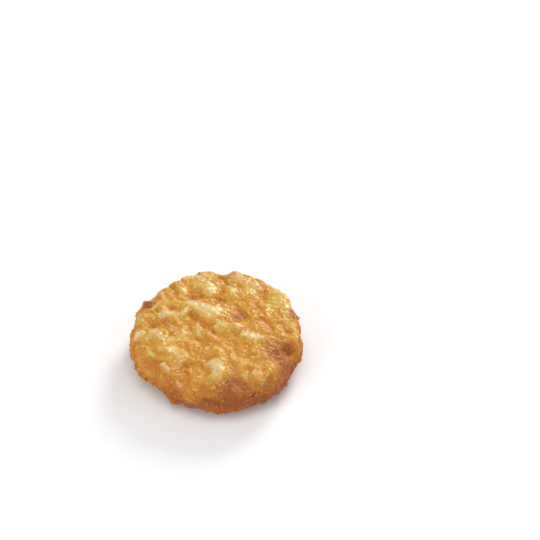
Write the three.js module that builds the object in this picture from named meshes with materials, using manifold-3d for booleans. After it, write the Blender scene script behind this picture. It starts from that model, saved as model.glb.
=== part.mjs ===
// A potato rosti: a round cake of coarsely grated potato, pressed in a mould and deep-fried until crisp.
// Units are millimetres and +Z is up. The origin is the middle of the base, on the surface that it rests on.
// The cake is one solid: a core of packed mash, with the shreds and crumbs that show on its skin fused to it,
// and with the gaps that the shreds left open cut back into it.

import * as THREE from "three";
import { ImprovedNoise } from "three/addons/math/ImprovedNoise.js";
import { mergeVertices } from "three/addons/utils/BufferGeometryUtils.js";
import Module from "manifold-3d";

// ---- Driving dimensions ----

const DIAMETER = 61.5;
const HEIGHT = 16;
const EDGE_SQUARENESS = 4.5; // exponent of the side's profile: 2 is an ellipse, and more is a squarer edge
const RELIEF = 1.3; // how far the shreds stand out of the core
const MASH_RELIEF = 0.5; // unevenness of the mash between them
const MASH_LUMP = 3.2; // size of its lumps
const MASH_DETAIL = 11; // how often each edge of an icosahedron is split to make the core
const OUTLINE_WAVES = [
  // the pressed outline is not quite a circle: turns round the rim, share of the radius, phase in degrees
  { turns: 2, share: 0.014, phase: 214 },
  { turns: 3, share: 0.019, phase: 195 },
  { turns: 4, share: 0.011, phase: 49 },
];
const SEED = 41;

const SHRED_SIDES = 8;
const SHRED_RINGS = 6;
const SHRED_FLATNESS = 0.72; // thickness of a shred as a share of its width
const SHRED_WOBBLE = 0.4; // unevenness of a shred's surface
const SHRED_LUMP = 3.2; // size of its lumps
const SHRED_BEND = 0.12; // how far its ends may curve aside, as a share of its length
const SHRED_BLUNTNESS = 0.62; // 1 is an ellipse, and less is squarer ends
const SHRED_CORNERS = 0.88; // 1 is an oval section, and less is a squarer one

const CRUMB_WOBBLE = 0.3;
const CRUMB_STRETCH = [1, 1.7];
const CRUMB_FLATNESS = 0.8;
const CRUMB_SINK = 0.12; // share of a crumb's size that its middle lies under the skin
const CRUMB_SPACING = 2.6;
const EDGE_MARGIN = 2.5; // no scattered piece has its middle nearer than this to a face's edge
const FINEST_DETAIL = 0.12; // bumps lower than this are smoothed away

// The plumpest shreds of the top, each by its middle, its heading in degrees from +X, its length and width,
// and how far its back stands above the pressed shape.
const TOP_SHREDS = [
  { x: -4.5, y: 21.3, turn: -52, length: 16, width: 7.5, lift: 0.5 },
  { x: -1.0, y: 25.6, turn: -66, length: 11, width: 5.8, lift: 0.4 },
  { x: 9.8, y: 22.4, turn: -47, length: 18, width: 8.5, lift: 0.7 },
  { x: 4.0, y: 17.6, turn: -42, length: 9, width: 5.0, lift: 0.0 },
  { x: 18.3, y: 18.0, turn: -50, length: 8, width: 4.5, lift: 0.3 },
  { x: 23.8, y: 11.5, turn: -58, length: 15, width: 7.5, lift: 0.7 },
  { x: 27.2, y: 5.4, turn: 70, length: 5, width: 4.0, lift: 0.2 },
  { x: -4.0, y: 8.0, turn: -35, length: 17, width: 7.5, lift: 0.5 },
  { x: -16.2, y: 5.6, turn: -15, length: 11, width: 5.0, lift: 0.2 },
  { x: -17.8, y: 10.6, turn: 5, length: 8, width: 4.5, lift: 0.1 },
  { x: -19.7, y: 16.6, turn: 62, length: 9, width: 4.8, lift: 0.4 },
  { x: -13.2, y: 22.4, turn: -30, length: 8, width: 5.0, lift: 0.3 },
  { x: -26.0, y: 4.5, turn: 72, length: 10, width: 5.0, lift: 0.4 },
  { x: -26.6, y: -2.6, turn: 5, length: 7, width: 4.5, lift: 0.2 },
  { x: -13.7, y: -3.0, turn: -52, length: 9, width: 6.0, lift: 0.2 },
  { x: -19.6, y: -5.4, turn: -48, length: 12, width: 4.2, lift: 0.3 },
  { x: -17.0, y: -13.0, turn: -40, length: 15, width: 6.2, lift: 0.4 },
  { x: -26.3, y: -13.0, turn: -72, length: 10, width: 5.0, lift: 0.0 },
  { x: -17.8, y: -20.6, turn: -60, length: 11, width: 4.8, lift: 0.3 },
  { x: -4.0, y: -12.6, turn: -4, length: 11, width: 5.0, lift: -0.2 },
  { x: -0.3, y: -20.5, turn: -80, length: 12, width: 7.5, lift: 0.5 },
  { x: 4.8, y: -1.5, turn: -8, length: 12, width: 4.8, lift: 0.3 },
  { x: 12.3, y: -6.6, turn: -26, length: 11, width: 5.6, lift: 0.2 },
  { x: 14.3, y: 3.5, turn: 55, length: 9, width: 4.4, lift: -0.1 },
  { x: 14.0, y: -15.0, turn: -32, length: 10, width: 5.5, lift: -0.2 },
  { x: 12.4, y: -24.0, turn: -52, length: 11, width: 6.0, lift: 0.2 },
  { x: 19.0, y: -20.5, turn: 14, length: 10, width: 6.5, lift: 0.1 },
  { x: 27.6, y: -4.0, turn: 80, length: 10, width: 4.0, lift: 0.1 },
];

// The same for the plumpest shreds of the side, placed by the angle round the rim from +X and the height.
const SIDE_SHREDS = [
  { angle: 206, height: 8.5, turn: 24, length: 10, width: 5.5, lift: 0.1 },
  { angle: 228, height: 9.5, turn: 50, length: 9, width: 5.5, lift: 0.1 },
  { angle: 251, height: 9.5, turn: 12, length: 8.5, width: 7.0, lift: 0.6 },
  { angle: 266, height: 4.2, turn: 4, length: 13, width: 5.5, lift: 0.6 },
  { angle: 284, height: 6.0, turn: -14, length: 12, width: 6.5, lift: 0.3 },
  { angle: 306, height: 8.0, turn: 10, length: 12, width: 7.0, lift: 0.0 },
];

// Other shreds lie where the grater dropped them: how many, their headings, sizes, lifts and spacing.
const LOOSE_SHREDS = {
  top: { count: 14, turn: [-80, 0], length: [6, 10], width: [3.6, 5.2], lift: [-0.7, -0.2], spacing: 4.6 },
  side: { count: 24, turn: [-35, 35], length: [7, 13], width: [4.5, 7.5], lift: [-0.5, 0], spacing: 6 },
  base: { count: 30, turn: [-90, 90], length: [9, 16], width: [5, 8], lift: [0, 0.55], spacing: 7.2 },
};
const CRUMBS = {
  top: { count: 44, size: [1.6, 3.0] },
  side: { count: 30, size: [1.8, 3.2] },
};

// Crags that break the outline: the angle round the rim from +X, the height and the size.
const RIM_CRAGS = [
  { angle: 150, height: 14.2, size: 5.4 },
  { angle: 186, height: 6.4, size: 3.0 },
  { angle: 193, height: 4.6, size: 3.6 },
  { angle: 235, height: 2.2, size: 4.4 },
  { angle: 248, height: 2.0, size: 3.8 },
  { angle: 300, height: 2.6, size: 3.2 },
  { angle: 313, height: 3.2, size: 3.0 },
  { angle: 12, height: 13.2, size: 3.8 },
  { angle: 57, height: 13.6, size: 3.0 },
];

// Gaps between shreds that go deeper than the mash: the first one notches the rim.
const HOLLOWS = [
  { x: 2.4, y: 29.8, size: 7.5 },
  { x: 25.0, y: -11.5, size: 5.0 },
  { x: 8.5, y: 4.6, size: 4.5 },
  { x: -22.3, y: 1.0, size: 3.6 },
  { x: -9.0, y: 14.0, size: 4.0 },
  { x: 19.0, y: -13.0, size: 3.6 },
  { x: -6.5, y: -9.0, size: 3.4 },
];
const HOLLOW_SINK = 0.1; // share of a hollow's size that its middle lies under the skin

// ---- Chance, always the same ----

THREE.MathUtils.seededRandom(SEED);

function chance(low, high) {
  return THREE.MathUtils.lerp(low, high, THREE.MathUtils.seededRandom());
}

const noise = new ImprovedNoise();
const NOISE_PEAK = 0.62; // the noise itself stays within about this
const LAYER_STEP = 17.3; // layers of noise lie this far apart, so that they look unrelated

/** Smooth unevenness from about -1 to 1, in lumps of the given size. */
function lumps(point, size, layer) {
  return noise.noise(point.x / size + layer * LAYER_STEP, point.y / size, point.z / size) / NOISE_PEAK;
}

/** A layer of noise that no other piece is likely to have. */
function anyLayer() {
  return chance(2, 50);
}

// ---- The pressed shape that the mould gives ----

const MIDDLE = HEIGHT / 2;
const SKIN_PASSES = 6; // steps that bring a point onto the skin
const FACE_RISE = 0.7; // skin whose normal rises or falls more than this is top or base, and the rest is side

function rimRadius(angle) {
  let share = 1;
  for (const wave of OUTLINE_WAVES) {
    share += wave.share * Math.cos(wave.turns * angle - THREE.MathUtils.degToRad(wave.phase));
  }
  return (DIAMETER / 2) * share;
}

/** 0 on the pressed shape, negative inside it, and growing about evenly with distance. */
function outside(point) {
  const radius = Math.hypot(point.x, point.y) / rimRadius(Math.atan2(point.y, point.x));
  const rise = Math.abs(point.z - MIDDLE) / MIDDLE;
  return Math.pow(radius ** EDGE_SQUARENESS + rise ** EDGE_SQUARENESS, 1 / EDGE_SQUARENESS) - 1;
}

function outwardSlope(point) {
  const step = 0.01;
  const slope = new THREE.Vector3();
  for (const axis of ["x", "y", "z"]) {
    const ahead = point.clone();
    const behind = point.clone();
    ahead[axis] += step;
    behind[axis] -= step;
    slope[axis] = (outside(ahead) - outside(behind)) / (2 * step);
  }
  return slope;
}

/** Moves a point near the skin onto the pressed shape. */
function ontoSkin(point) {
  const found = point.clone();
  for (let pass = 0; pass < SKIN_PASSES; pass++) {
    const slope = outwardSlope(found);
    found.addScaledVector(slope, -outside(found) / slope.lengthSq());
  }
  return found;
}

/** A place on the skin, with its outward normal and a heading along the skin. */
function placeOnSkin(point, turn) {
  const origin = ontoSkin(point);
  const normal = outwardSlope(origin).normalize();
  const isSide = Math.abs(normal.z) < FACE_RISE;
  const level = isSide ? new THREE.Vector3(-normal.y, normal.x, 0) : new THREE.Vector3(1, 0, 0);
  const along = level.addScaledVector(normal, -level.dot(normal)).normalize();
  along.applyAxisAngle(normal, THREE.MathUtils.degToRad(turn) * (normal.z < 0 ? -1 : 1));
  const across = new THREE.Vector3().crossVectors(normal, along);
  return { origin, along, across, normal };
}

/** Lays a shape that was made flat at the origin onto the skin, so that it follows the cake's edge. */
function layOnSkin(geometry, place, depth) {
  const position = geometry.getAttribute("position");
  for (let i = 0; i < position.count; i++) {
    const flat = place.origin
      .clone()
      .addScaledVector(place.along, position.getX(i))
      .addScaledVector(place.across, position.getY(i));
    const skin = ontoSkin(flat);
    const normal = outwardSlope(skin).normalize();
    skin.addScaledVector(normal, position.getZ(i) + depth);
    position.setXYZ(i, skin.x, skin.y, skin.z);
  }
  return geometry;
}

// ---- Pieces ----

/** Merges equal vertices and drops the flat triangles that a pole leaves. */
function closed(geometry) {
  const bare = geometry.clone();
  bare.deleteAttribute("normal");
  bare.deleteAttribute("uv");
  const merged = mergeVertices(bare, 1e-4);
  const kept = [];
  const index = merged.index.array;
  for (let i = 0; i < index.length; i += 3) {
    const [a, b, c] = index.slice(i, i + 3);
    if (a !== b && b !== c && a !== c) kept.push(a, b, c);
  }
  merged.setIndex(kept);
  return merged;
}

/** Pushes a circle's cosine or sine out towards a square's. */
function squared(value) {
  return Math.sign(value) * Math.abs(value) ** SHRED_CORNERS;
}

/** A grated strip along X: blunt ends, a flattened round section, a slight bend and uneven sides. */
function shredGeometry(length, width, layer) {
  const shape = closed(new THREE.SphereGeometry(1, SHRED_SIDES, SHRED_RINGS + 1));
  const position = shape.getAttribute("position");
  const bend = chance(-SHRED_BEND, SHRED_BEND) * length;
  const point = new THREE.Vector3();
  for (let i = 0; i < position.count; i++) {
    point.fromBufferAttribute(position, i);
    // the sphere's poles become the shred's two ends, which are squared off
    const reach = point.y;
    const girth = Math.hypot(point.x, point.z) ** SHRED_BLUNTNESS;
    const turn = Math.atan2(-point.z, point.x);
    point.set(
      (reach * length) / 2,
      (girth * squared(Math.cos(turn)) * width) / 2 + bend * reach * reach,
      (girth * squared(Math.sin(turn)) * width * SHRED_FLATNESS) / 2,
    );
    const swell = SHRED_WOBBLE * lumps(point, SHRED_LUMP, layer);
    point.y += swell * Math.sign(point.y);
    point.z += swell;
    position.setXYZ(i, point.x, point.y, point.z);
  }
  return shape;
}

/** A crisp crumb: a small uneven lump. */
function crumbGeometry(size, layer) {
  const shape = closed(new THREE.IcosahedronGeometry(size / 2, 0));
  const position = shape.getAttribute("position");
  const point = new THREE.Vector3();
  const stretch = chance(...CRUMB_STRETCH);
  for (let i = 0; i < position.count; i++) {
    point.fromBufferAttribute(position, i);
    point.multiplyScalar(1 + CRUMB_WOBBLE * lumps(point, size / 2, layer));
    position.setXYZ(i, point.x * stretch, point.y, point.z * CRUMB_FLATNESS);
  }
  return shape;
}

/** Half of the pressed shape's section, from the top's middle round the rim to the base's middle. */
function halfSection() {
  const corners = [];
  const steps = 200;
  for (let i = 0; i <= steps; i++) {
    const angle = Math.PI / 2 - (Math.PI * i) / steps;
    const reach = Math.abs(Math.cos(angle));
    const rise = Math.abs(Math.sin(angle));
    const size = (reach ** EDGE_SQUARENESS + rise ** EDGE_SQUARENESS) ** (-1 / EDGE_SQUARENESS);
    corners.push(new THREE.Vector2((size * reach * DIAMETER) / 2, size * Math.sin(angle) * MIDDLE));
  }
  return new THREE.SplineCurve(corners);
}

/** The mash under the shreds: the pressed shape, sunk by the relief and gently lumpy. */
function coreGeometry() {
  const section = halfSection();
  const shape = closed(new THREE.IcosahedronGeometry(1, MASH_DETAIL));
  const position = shape.getAttribute("position");
  const point = new THREE.Vector3();
  const flat = new THREE.Vector2();
  for (let i = 0; i < position.count; i++) {
    point.fromBufferAttribute(position, i);
    // a point of the ball goes to the same share of the way from the top's middle to the base's
    section.getPointAt(Math.acos(THREE.MathUtils.clamp(point.z, -1, 1)) / Math.PI, flat);
    const angle = Math.atan2(point.y, point.x);
    const rim = (flat.x * rimRadius(angle)) / (DIAMETER / 2);
    point.set(rim * Math.cos(angle), rim * Math.sin(angle), MIDDLE + flat.y);
    const normal = outwardSlope(ontoSkin(point)).normalize();
    point.addScaledVector(normal, MASH_RELIEF * lumps(point, MASH_LUMP, 1) - RELIEF);
    position.setXYZ(i, point.x, point.y, point.z);
  }
  return shape;
}

// ---- Joining ----

const wasm = await Module();
wasm.setup();

function solid(geometry) {
  const shape = closed(geometry);
  return new wasm.Manifold(
    new wasm.Mesh({
      numProp: 3,
      vertProperties: new Float32Array(shape.getAttribute("position").array),
      triVerts: new Uint32Array(shape.index.array),
    }),
  );
}

function geometryOf(made) {
  const mesh = made.getMesh();
  const geometry = new THREE.BufferGeometry();
  geometry.setAttribute("position", new THREE.BufferAttribute(mesh.vertProperties, 3));
  geometry.setIndex(new THREE.BufferAttribute(mesh.triVerts, 1));
  geometry.computeVertexNormals();
  return geometry;
}

function join(pieces) {
  return pieces.reduce((whole, piece) => whole.add(piece));
}

// ---- Placing ----

const TRIES_PER_POINT = 60;

/** The point of the skin nearest to an angle in degrees from +X, a height and a distance from the axis. */
function skinPoint(angle, height, radius = DIAMETER / 2) {
  const turn = THREE.MathUtils.degToRad(angle);
  return ontoSkin(new THREE.Vector3(Math.cos(turn) * radius, Math.sin(turn) * radius, height));
}

/** Points on one face of the cake that keep their distance from those taken before. */
function scatter(face, count, spacing, taken) {
  const points = [];
  for (let tries = 0; points.length < count && tries < count * TRIES_PER_POINT; tries++) {
    const angle = chance(0, 360);
    const reach = Math.sqrt(chance(0, 1));
    const point = {
      top: () => skinPoint(angle, HEIGHT, reach * (DIAMETER / 2 - EDGE_MARGIN)),
      base: () => skinPoint(angle, 0, reach * (DIAMETER / 2 - EDGE_MARGIN)),
      side: () => skinPoint(angle, chance(EDGE_MARGIN, HEIGHT - EDGE_MARGIN)),
    }[face]();
    if (taken.every((other) => other.distanceTo(point) > spacing)) {
      taken.push(point);
      points.push(point);
    }
  }
  return points;
}

/** A shred whose back stands above the pressed shape by lift, with its body sunk below. */
function laidShred(point, { turn, length, width, lift }) {
  const depth = lift - (width * SHRED_FLATNESS) / 2;
  return solid(layOnSkin(shredGeometry(length, width, anyLayer()), placeOnSkin(point, turn), depth));
}

/** A crumb stuck where a ray towards the cake's skin meets what is there already. */
function stuckCrumb(point, size, surface) {
  const place = placeOnSkin(point, chance(-180, 180));
  const start = place.origin.clone().addScaledVector(place.normal, 2 * RELIEF);
  const [hit] = new THREE.Raycaster(start, place.normal.clone().negate()).intersectObject(surface);
  const height = hit ? 2 * RELIEF - hit.distance : -RELIEF;
  return solid(layOnSkin(crumbGeometry(size, anyLayer()), place, height - CRUMB_SINK * size));
}

/** What is cut away for a hollow. */
function hollow({ x, y, size }) {
  const place = placeOnSkin(new THREE.Vector3(x, y, HEIGHT), chance(-180, 180));
  return solid(layOnSkin(crumbGeometry(size, anyLayer()), place, -HOLLOW_SINK * size));
}

// ---- The cake ----

const taken = [];
const body = [solid(coreGeometry())];

for (const shred of TOP_SHREDS) {
  const point = ontoSkin(new THREE.Vector3(shred.x, shred.y, HEIGHT));
  taken.push(point);
  body.push(laidShred(point, shred));
}

for (const shred of SIDE_SHREDS) {
  const point = skinPoint(shred.angle, shred.height);
  taken.push(point);
  body.push(laidShred(point, shred));
}

for (const { x, y } of HOLLOWS) {
  taken.push(ontoSkin(new THREE.Vector3(x, y, HEIGHT)));
}

for (const [face, kind] of Object.entries(LOOSE_SHREDS)) {
  for (const point of scatter(face, kind.count, kind.spacing, taken)) {
    const shred = {
      turn: chance(...kind.turn),
      length: chance(...kind.length),
      width: chance(...kind.width),
      lift: chance(...kind.lift),
    };
    body.push(laidShred(point, shred));
  }
}

const cake = join(body).subtract(join(HOLLOWS.map(hollow)));
const surface = new THREE.Mesh(geometryOf(cake), new THREE.MeshBasicMaterial({ side: THREE.DoubleSide }));
const crumbs = [];

for (const { angle, height, size } of RIM_CRAGS) {
  crumbs.push(stuckCrumb(skinPoint(angle, height), size, surface));
}

for (const [face, kind] of Object.entries(CRUMBS)) {
  for (const point of scatter(face, kind.count, CRUMB_SPACING, [])) {
    crumbs.push(stuckCrumb(point, chance(...kind.size), surface));
  }
}

// what would reach under the base is cut off, which leaves the flat spots that the cake rests on
const BLOCK = 2 * DIAMETER;
const underBase = new THREE.BoxGeometry(BLOCK, BLOCK, BLOCK).translate(0, 0, -BLOCK / 2);
const fused = join([cake, ...crumbs]).subtract(solid(underBase));
const whole = solid(geometryOf(fused)).simplify(FINEST_DETAIL);

// ---- The model ----

const crust = new THREE.MeshStandardMaterial({ color: 0xcb9243, roughness: 0.45, metalness: 0 });
const rosti = new THREE.Mesh(geometryOf(whole), crust);
rosti.name = "rosti";
rosti.geometry.computeBoundingBox();
const middle = rosti.geometry.boundingBox.getCenter(new THREE.Vector3());
rosti.geometry.translate(-middle.x, -middle.y, 0);

const group = new THREE.Group();
group.add(rosti);

export default group;
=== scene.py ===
# %% [markdown]
# # A potato rosti
# A rosti is coarsely grated potato, pressed into a round cake and deep-fried. What the eye reads first is
# the relief: plump shreds that bulge out of the cake, finer gratings between them, and a crust of crisp
# crumbs. The frame brings the cake as a plain faceted solid with the plump shreds in it. This script
# keeps that shape and grows the finer things on it.

# %% Load the frame
import math

import bmesh
import bpy
import numpy as np
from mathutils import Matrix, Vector
from mathutils.bvhtree import BVHTree
from mathutils.kdtree import KDTree


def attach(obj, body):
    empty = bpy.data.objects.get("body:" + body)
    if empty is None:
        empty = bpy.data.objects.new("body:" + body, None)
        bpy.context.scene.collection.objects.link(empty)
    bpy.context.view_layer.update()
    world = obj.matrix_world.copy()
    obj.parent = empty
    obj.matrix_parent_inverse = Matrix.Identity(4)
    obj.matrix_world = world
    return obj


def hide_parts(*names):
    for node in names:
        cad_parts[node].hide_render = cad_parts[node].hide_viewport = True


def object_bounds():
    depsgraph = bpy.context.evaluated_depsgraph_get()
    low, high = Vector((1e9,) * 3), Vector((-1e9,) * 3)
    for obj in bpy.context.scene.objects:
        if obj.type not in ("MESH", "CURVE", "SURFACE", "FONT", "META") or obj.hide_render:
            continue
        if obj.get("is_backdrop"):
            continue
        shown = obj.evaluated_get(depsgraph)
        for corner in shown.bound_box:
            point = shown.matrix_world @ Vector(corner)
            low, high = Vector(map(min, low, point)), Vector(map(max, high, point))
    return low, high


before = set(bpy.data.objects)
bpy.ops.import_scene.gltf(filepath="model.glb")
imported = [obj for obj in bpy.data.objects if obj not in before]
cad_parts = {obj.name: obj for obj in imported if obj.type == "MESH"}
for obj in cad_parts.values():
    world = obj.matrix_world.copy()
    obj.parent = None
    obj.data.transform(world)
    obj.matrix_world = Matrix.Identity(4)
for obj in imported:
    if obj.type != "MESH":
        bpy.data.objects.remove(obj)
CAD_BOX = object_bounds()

MM = 0.001
cad_low, cad_high = (Vector(corner) for corner in CAD_BOX)
cake_middle = (cad_low + cad_high) / 2
print("cake, mm:", [round(side / MM, 1) for side in cad_high - cad_low])

# %% [markdown]
# ## The camera
# Food is shown from about 45 degrees, close enough to read the crust. A long lens keeps the cake's far
# edge nearly as wide as its near one. The cake stands left of and below the middle of the frame, so the
# camera aims beside it: one pixel's size at the cake turns the wanted offset into a real distance.

# %% Camera
FRAME_PX = 540
CAKE_AT_PX = (213.7, 337.6)
LENS_MM = 100.0
SENSOR_MM = 36.0
CAMERA_ELEVATION = math.radians(45.5)
CAMERA_DISTANCE = 0.529
NEAREST_SEEN = 0.01


def look_from(thing, place, target):
    """Puts a camera or a light at a place and turns it towards a target."""
    thing.location = place
    thing.rotation_mode = "QUATERNION"
    thing.rotation_quaternion = (Vector(target) - Vector(place)).to_track_quat("-Z", "Y")
    bpy.context.scene.collection.objects.link(thing)


camera_data = bpy.data.cameras.new("camera")
camera_data.lens = LENS_MM
camera_data.sensor_width = SENSOR_MM
camera_data.clip_start = NEAREST_SEEN

towards_camera = Vector((0, -math.cos(CAMERA_ELEVATION), math.sin(CAMERA_ELEVATION)))
picture_up = Vector((0, math.sin(CAMERA_ELEVATION), math.cos(CAMERA_ELEVATION)))
metres_per_px = SENSOR_MM / FRAME_PX / LENS_MM * CAMERA_DISTANCE
aim = cake_middle.copy()
aim.x += (FRAME_PX / 2 - CAKE_AT_PX[0]) * metres_per_px
aim += picture_up * (CAKE_AT_PX[1] - FRAME_PX / 2) * metres_per_px

camera = bpy.data.objects.new("camera", camera_data)
look_from(camera, cake_middle + towards_camera * CAMERA_DISTANCE, aim)
bpy.context.scene.camera = camera
print("one pixel at the cake, mm:", round(metres_per_px / MM, 3))

# %% [markdown]
# ## Light
# Fried food looks crisp when light skims over it. The first lamp stands low behind the cake, on the right:
# it picks out the crumbs and puts glints on the oily shreds. Three wider lamps, from the left, the right
# and above, fill in the near side and keep it golden, as white card does in a studio. An even surround
# lights the rest, and the Standard view shows the colours as strong as they are set.

# %% Light
# each lamp's place as seen from the cake and its side, in metres; then its watts
SOFTBOXES = {
    "key_light": ((0.27, 0.46, 0.3), 0.22, 2.5),
    "left_fill": ((-0.42, -0.32, 0.26), 0.4, 1.5),
    "right_fill": ((0.46, -0.24, 0.22), 0.4, 0.8),
    "top_fill": ((0, -0.1, 0.7), 0.5, 1.6),
}
SURROUND = 0.42

for name, (offset, side, watts) in SOFTBOXES.items():
    lamp = bpy.data.lights.new(name, "AREA")
    lamp.size = side
    lamp.energy = watts
    look_from(bpy.data.objects.new(name, lamp), cake_middle + Vector(offset), cake_middle)
    print(name, "stands", round(Vector(offset).length, 2), "m away")

world = bpy.data.worlds.new("surround")
world.use_nodes = True
backdrop = world.node_tree.nodes["Background"]
backdrop.inputs["Color"].default_value = (1, 1, 1, 1)
backdrop.inputs["Strength"].default_value = SURROUND
bpy.context.scene.world = world
bpy.context.scene.view_settings.view_transform = "Standard"

# %% [markdown]
# ## Floor
# The cake stands on a pale, matt floor, which throws soft light back under its rim and takes its shadow.
# One large square is enough. It is staged, so it is in the picture without being a piece of the rosti, and
# it lies a hair below the base, since two faces at one height flicker through each other.

# %% Floor
FLOOR_SIDE = 6.0
FLOOR_DROP = 0.0001
FLOOR_PALE = (0.86, 0.86, 0.86, 1)
FLOOR_ROUGHNESS = 0.9

floor_material = bpy.data.materials.new("pale_floor")
floor_material.use_nodes = True
floor_surface = floor_material.node_tree.nodes["Principled BSDF"]
floor_surface.inputs["Base Color"].default_value = FLOOR_PALE
floor_surface.inputs["Roughness"].default_value = FLOOR_ROUGHNESS

half = FLOOR_SIDE / 2
corners = [(x * half, y * half, -FLOOR_DROP) for x, y in ((-1, -1), (1, -1), (1, 1), (-1, 1))]
floor_mesh = bpy.data.meshes.new("floor")
floor_mesh.from_pydata(corners, [], [(0, 1, 2, 3)])
floor_mesh.materials.append(floor_material)
floor = bpy.data.objects.new("floor", floor_mesh)
bpy.context.scene.collection.objects.link(floor)
floor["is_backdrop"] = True
print("floor, m:", FLOOR_SIDE)

# %% [markdown]
# ## A shorthand for nodes
# The crust is made and coloured by node trees, and all of them are built by script, so every number has a
# name and can be changed in one place. `add` makes one node: its settings, then its inputs, by name or by
# position. An input that is given another node's output is linked, and any other value is typed in.

# %% Node shorthand


def feed(tree, socket, value):
    """Links a socket to another node's output, or types a plain value in."""
    if isinstance(value, bpy.types.NodeSocket):
        tree.links.new(value, socket)
    else:
        socket.default_value = value


def add(tree, kind, inputs=None, **settings):
    """Makes one node."""
    node = tree.nodes.new(kind)
    for name, value in settings.items():
        setattr(node, name, value)
    for key, value in (inputs or {}).items():
        if isinstance(key, int):
            socket = node.inputs[key]
        else:
            socket = next(s for s in node.inputs if s.name == key and s.enabled)
        feed(tree, socket, value)
    return node


def out(node, name=None):
    """A node's output by name, or its first one that is in use."""
    return next(s for s in node.outputs if s.enabled and (name is None or s.name == name))


def math_node(tree, operation, *values):
    return out(add(tree, "ShaderNodeMath", dict(enumerate(values)), operation=operation))


def vector_node(tree, operation, *values):
    return out(add(tree, "ShaderNodeVectorMath", dict(enumerate(values)), operation=operation))


def scaled(tree, vector, by):
    return out(add(tree, "ShaderNodeVectorMath", {0: vector, "Scale": by}, operation="SCALE"))


def ramp(tree, value, low, high, to_low=0.0, to_high=1.0):
    """Brings a value from one range to another, smoothly and without leaving it."""
    inputs = {"Value": value, "From Min": low, "From Max": high, "To Min": to_low, "To Max": to_high}
    return out(add(tree, "ShaderNodeMapRange", inputs, interpolation_type="SMOOTHSTEP"), "Result")


# %% [markdown]
# ## Trees that change a mesh
# A Geometry Nodes tree works as a modifier, with one named input for each size. The modifier knows its
# inputs by identifiers, not names, so they are looked up and set before anything is worked out. Each tree
# ends by making its instances real and giving them their material. Then `settle` turns the result into a
# plain mesh, since only plain meshes can be exported.

# %% Modifier trees
SOCKET_KINDS = {float: "NodeSocketFloat", int: "NodeSocketInt"}


def geometry_tree(name, sizes):
    """A modifier's tree: a geometry in and out, and one named input for each size."""
    tree = bpy.data.node_groups.new(name, "GeometryNodeTree")
    tree.is_modifier = True
    tree.interface.new_socket("Geometry", in_out="INPUT", socket_type="NodeSocketGeometry")
    for label, value in sizes.items():
        socket = tree.interface.new_socket(label, in_out="INPUT", socket_type=SOCKET_KINDS[type(value)])
        socket.default_value = value
    tree.interface.new_socket("Geometry", in_out="OUTPUT", socket_type="NodeSocketGeometry")
    return tree, tree.nodes.new("NodeGroupInput"), tree.nodes.new("NodeGroupOutput")


def finish_tree(tree, geometry, material, leave):
    """Makes instances real, sets the material and hands the geometry out."""
    real = out(add(tree, "GeometryNodeRealizeInstances", {"Geometry": geometry}))
    dressed = add(tree, "GeometryNodeSetMaterial", {"Geometry": real, "Material": material})
    tree.links.new(out(dressed), leave.inputs[0])
    return tree


def run_tree(thing, tree, values):
    """Adds the tree as a modifier, with its inputs set by their identifiers."""
    modifier = thing.modifiers.new(tree.name, "NODES")
    modifier.node_group = tree
    for item in tree.interface.items_tree:
        if item.item_type == "SOCKET" and item.name in values:
            modifier[item.identifier] = values[item.name]


def settle(thing, name):
    """Turns what the modifiers make into a plain mesh, and takes the modifiers off."""
    made = bpy.data.meshes.new_from_object(thing.evaluated_get(bpy.context.evaluated_depsgraph_get()))
    thing.modifiers.clear()
    thing.data = made
    made.name = name
    print(name, "vertices:", len(made.vertices))


# %% [markdown]
# ## The cake's body
# Pressed potato has no sharp edges. The frame's solid is faceted, so a merged copy of it is remeshed into
# even small squares and its facets are smoothed away. Sculpting it by hand would also work, but this
# keeps every shred where the frame has it. The body is drawn in a little, which leaves room for the crust.

# %% Body
BODY_VOXEL = 0.45 * MM
BODY_SMOOTHING = 8
SMOOTHING_STRENGTH = 0.5
DRAWN_IN = 0.3 * MM
MERGE_DISTANCE = 0.001 * MM

body_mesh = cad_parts["rosti"].data.copy()
loose = bmesh.new()
loose.from_mesh(body_mesh)
bmesh.ops.remove_doubles(loose, verts=loose.verts, dist=MERGE_DISTANCE)
loose.to_mesh(body_mesh)
loose.free()
body_mesh.materials.clear()

cake = bpy.data.objects.new("potato_cake", body_mesh)
bpy.context.scene.collection.objects.link(cake)


def fuse(thing, voxel, smoothing):
    """Makes one skin of all that the thing's mesh holds, and rounds its creases."""
    remesh = thing.modifiers.new("fuse", "REMESH")
    remesh.mode = "VOXEL"
    remesh.voxel_size = voxel
    remesh.use_smooth_shade = True
    smooth = thing.modifiers.new("soften", "SMOOTH")
    smooth.factor = SMOOTHING_STRENGTH
    smooth.iterations = smoothing


fuse(cake, BODY_VOXEL, BODY_SMOOTHING)
shrink = cake.modifiers.new("draw_in", "DISPLACE")
shrink.mid_level = 0.0
shrink.strength = -DRAWN_IN
settle(cake, "body")
plain_body = BVHTree.FromObject(cake, bpy.context.evaluated_depsgraph_get())
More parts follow.
